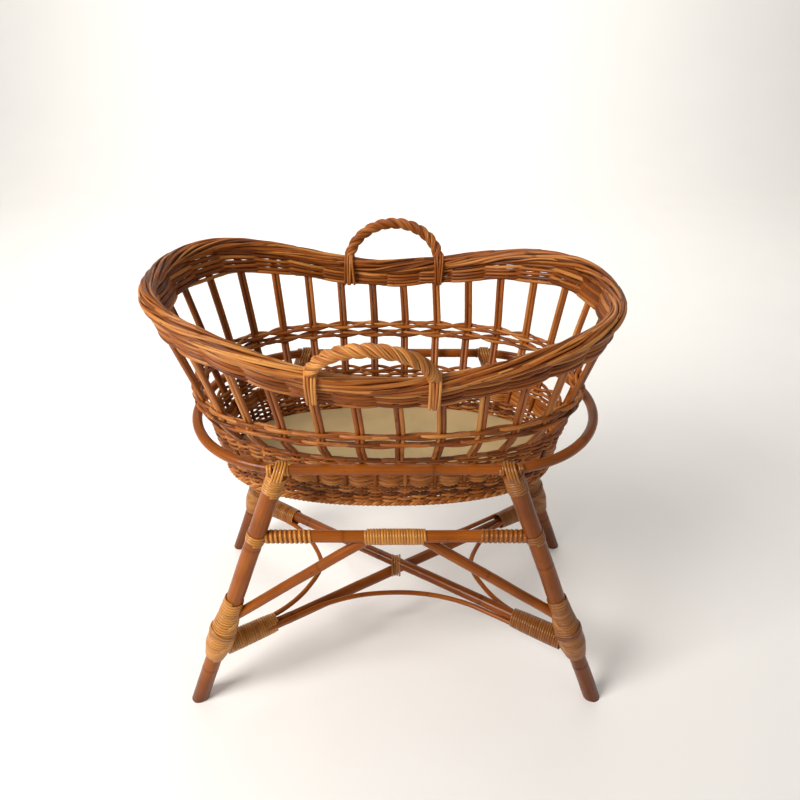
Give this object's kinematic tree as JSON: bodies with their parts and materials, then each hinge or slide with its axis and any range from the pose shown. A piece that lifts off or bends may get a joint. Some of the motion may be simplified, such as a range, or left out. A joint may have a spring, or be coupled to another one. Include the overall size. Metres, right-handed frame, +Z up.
{
  "type": "bassinet on stand",
  "caption": "Oval woven bassinet basket with two bow handles, resting in a four-legged cane-bound pole stand with a top hoop and crossed stretchers.",
  "frame": {"origin": "on the floor under the middle of the four feet", "axes": "+X along the basket towards its lower foot end, +Y towards its rear side, +Z up"},
  "size_m": [0.8345, 0.5638, 0.8407],
  "materials": {
    "rattan_pole": "satin varnish",
    "cane": "gloss varnish",
    "willow": "satin varnish",
    "board": "matte",
    "nail": "matte"
  },
  "bodies": {
    "stand": {"leg_front_left": "rattan_pole", "leg_front_right": "rattan_pole", "leg_rear_left": "rattan_pole", "leg_rear_right": "rattan_pole", "hoop": "rattan_pole", "rail_front": "rattan_pole", "rail_rear": "rattan_pole", "rail_left": "rattan_pole", "rail_right": "rattan_pole", "brace_front_left": "rattan_pole", "brace_front_right": "rattan_pole", "brace_rear_left": "rattan_pole", "brace_rear_right": "rattan_pole", "cross_lower": "rattan_pole", "cross_upper": "rattan_pole", "bow_front": "rattan_pole", "bow_rear": "rattan_pole", "bow_left": "rattan_pole", "bow_right": "rattan_pole", "wrap_hoop_joints": "cane", "wrap_lower_joints": "cane", "wrap_cross_ends": "cane", "wrap_rail_ends": "cane", "wrap_rail_centres": "cane", "wrap_cross_centre": "cane", "nails_hoop": "nail", "nails_rails": "nail", "nails_braces": "nail", "nails_stretchers": "nail"},
    "basket": {"foot_border": "willow", "base_weave": "willow", "base_sticks": "willow", "side_weave": "willow", "mid_band": "willow", "upper_wale": "willow", "rim_border": "willow", "low_stakes": "willow", "stakes": "willow", "handle_front": "willow", "handle_rear": "willow", "lashing_front": "willow", "lashing_rear": "willow"},
    "board": {"board": "board"}
  },
  "joints": [
    {"name": "basket_lift", "type": "slide", "parent": "stand", "child": "basket", "axis": [0, 0, 1], "range_m": [0, 0.25]},
    {"name": "board_lift", "type": "slide", "parent": "basket", "child": "board", "axis": [0, 0, 1], "range_m": [0, 0.4]}
  ]
}
